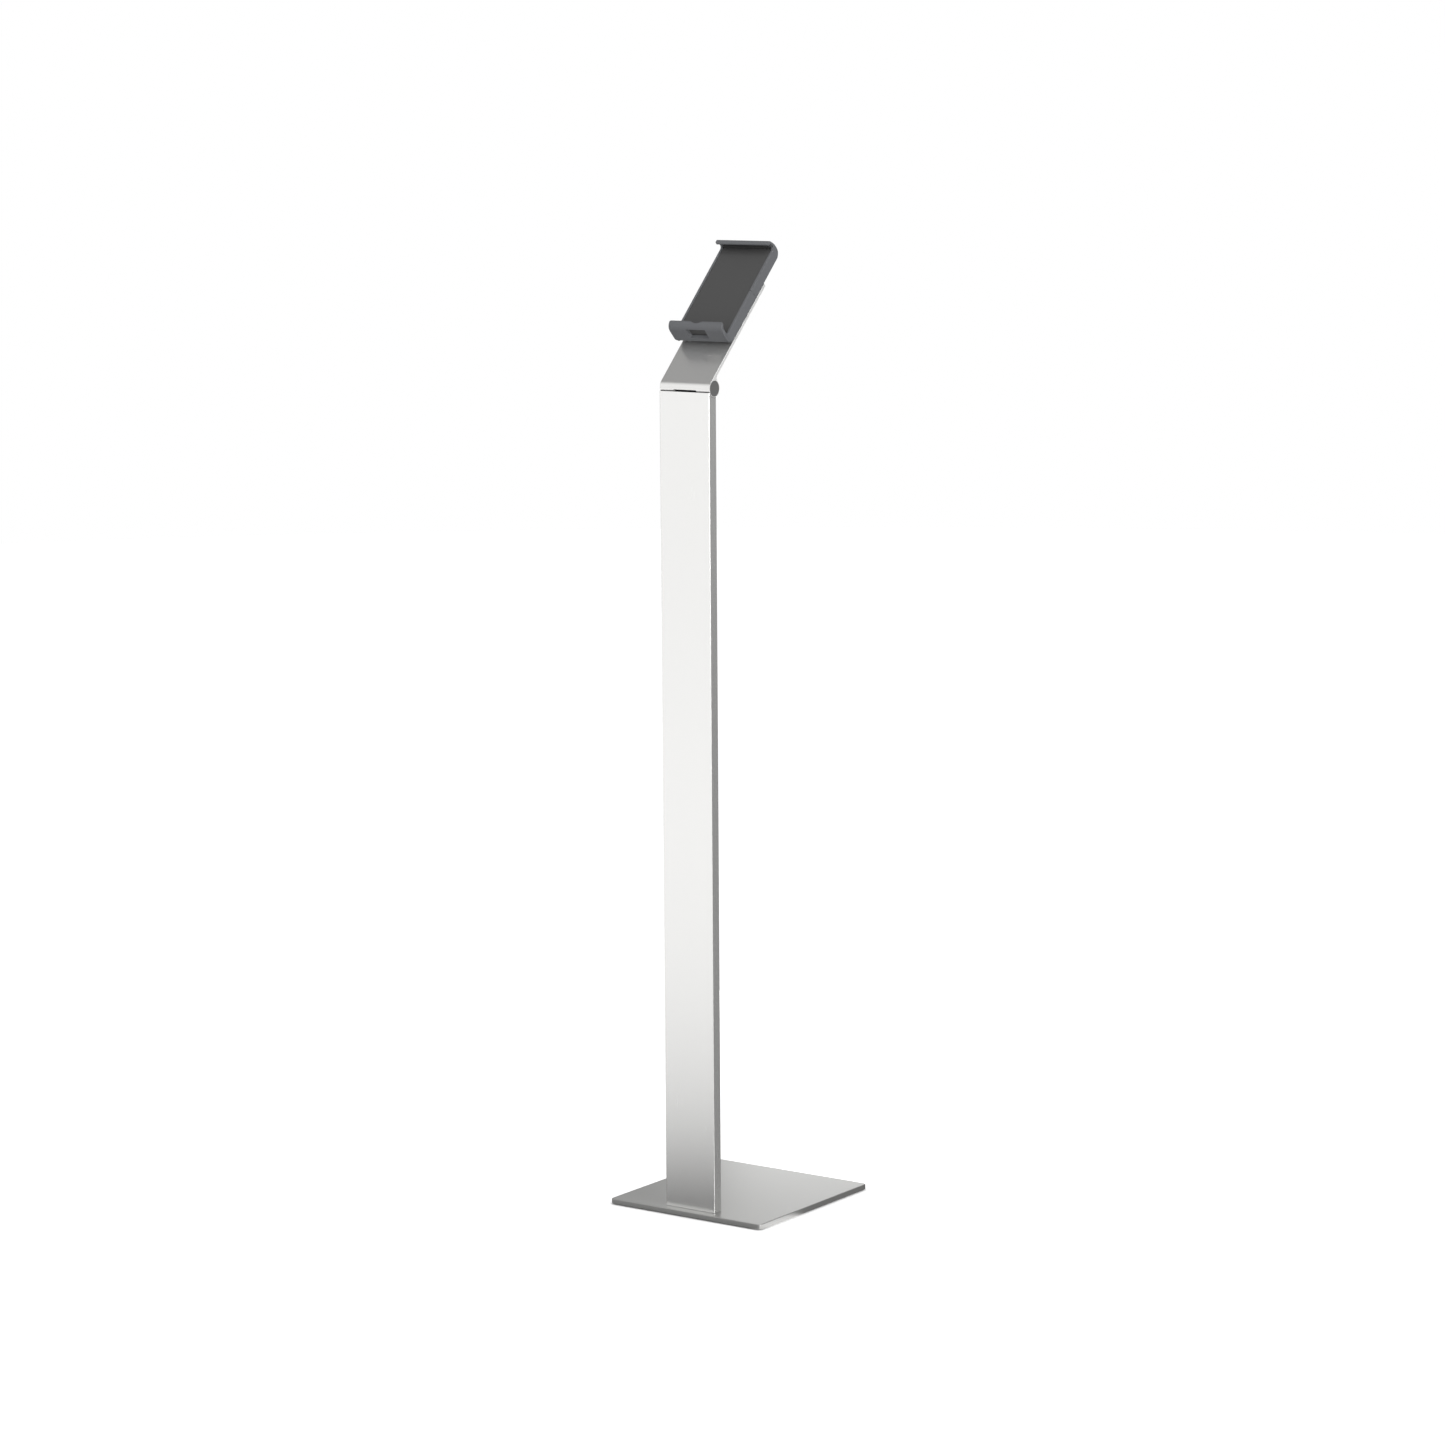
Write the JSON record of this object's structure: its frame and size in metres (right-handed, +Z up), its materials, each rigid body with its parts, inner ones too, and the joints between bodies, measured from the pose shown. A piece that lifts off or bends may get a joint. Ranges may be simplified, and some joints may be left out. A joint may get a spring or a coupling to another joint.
{
  "type": "tablet floor stand",
  "caption": "Free-standing tablet kiosk stand: flat base plate, slim flat column, leaning hinged arm and a swivelling spring clamp with a curled lower shelf and a sliding top jaw.",
  "frame": {"origin": "on the floor, under the middle of the base plate", "axes": "+Z up, the user stands at -Y facing +Y, +X to the user's right"},
  "size_m": [0.23, 0.241, 1.2101],
  "materials": {
    "anodised_aluminium": "satin anodised, fine grain along the length",
    "satin_steel": "satin lacquered steel plate",
    "clamp_shell": "moulded, fine satin texture, mid grey",
    "clamp_panel": "moulded, matt, dark grey",
    "cap_plastic": "moulded, matt, grey",
    "black_steel": "black oxide",
    "zinc_steel": "zinc plated",
    "spring_steel": "bright spring steel",
    "acetal": "natural acetal",
    "rubber": "black, matt"
  },
  "bodies": {
    "stand": {"base_plate": "satin_steel", "foot_pad_1": "rubber", "foot_pad_2": "rubber", "foot_pad_3": "rubber", "foot_pad_4": "rubber", "base_screw_left": "zinc_steel", "base_screw_right": "zinc_steel", "column": "anodised_aluminium", "hinge_knuckle": "black_steel", "knuckle_screw_1": "zinc_steel", "knuckle_screw_2": "zinc_steel", "hinge_axle": "zinc_steel", "friction_washer_left": "spring_steel", "friction_washer_right": "spring_steel", "disc_spring_left": "spring_steel", "disc_spring_right": "spring_steel", "axle_nut_left": "zinc_steel", "axle_nut_right": "zinc_steel"},
    "arm": {"arm": "anodised_aluminium", "hinge_bush_left": "acetal", "hinge_bush_right": "acetal", "end_cap_left": "cap_plastic", "end_cap_right": "cap_plastic", "swivel_bolt": "zinc_steel", "swivel_spacer": "acetal", "swivel_washer": "spring_steel", "swivel_nut": "zinc_steel"},
    "clamp": {"clamp_body": "clamp_shell", "front_panel": "clamp_panel", "panel_screw_1": "zinc_steel", "panel_screw_2": "zinc_steel", "panel_screw_3": "zinc_steel", "panel_screw_4": "zinc_steel", "lower_pad_left": "rubber", "lower_pad_right": "rubber", "jaw_spring_left": "spring_steel", "jaw_spring_right": "spring_steel", "spring_pin_low_left": "zinc_steel", "spring_pin_low_right": "zinc_steel"},
    "upper_jaw": {"upper_jaw_body": "clamp_shell", "slider_plate": "zinc_steel", "slider_screw_left": "zinc_steel", "slider_screw_right": "zinc_steel", "upper_pad": "rubber", "spring_pin_high_left": "zinc_steel", "spring_pin_high_right": "zinc_steel"}
  },
  "joints": [
    {"name": "head_tilt", "type": "hinge", "parent": "stand", "child": "arm", "pos_m": [0, -0.0963, 1.0361], "axis": [1, 0, 0], "range_deg": [-30, 45]},
    {"name": "head_swivel", "type": "hinge", "parent": "arm", "child": "clamp", "pos_m": [0, -0.01088, 1.14089], "axis": [0, -0.7071, 0.7071], "continuous": true},
    {"name": "jaw_slide", "type": "slide", "parent": "clamp", "child": "upper_jaw", "axis": [0, 0.7071, 0.7071], "range_m": [0, 0.072], "stiffness_N_per_m": 160, "springref_m": -0.05, "deforming": ["jaw_spring_left", "jaw_spring_right"]}
  ]
}
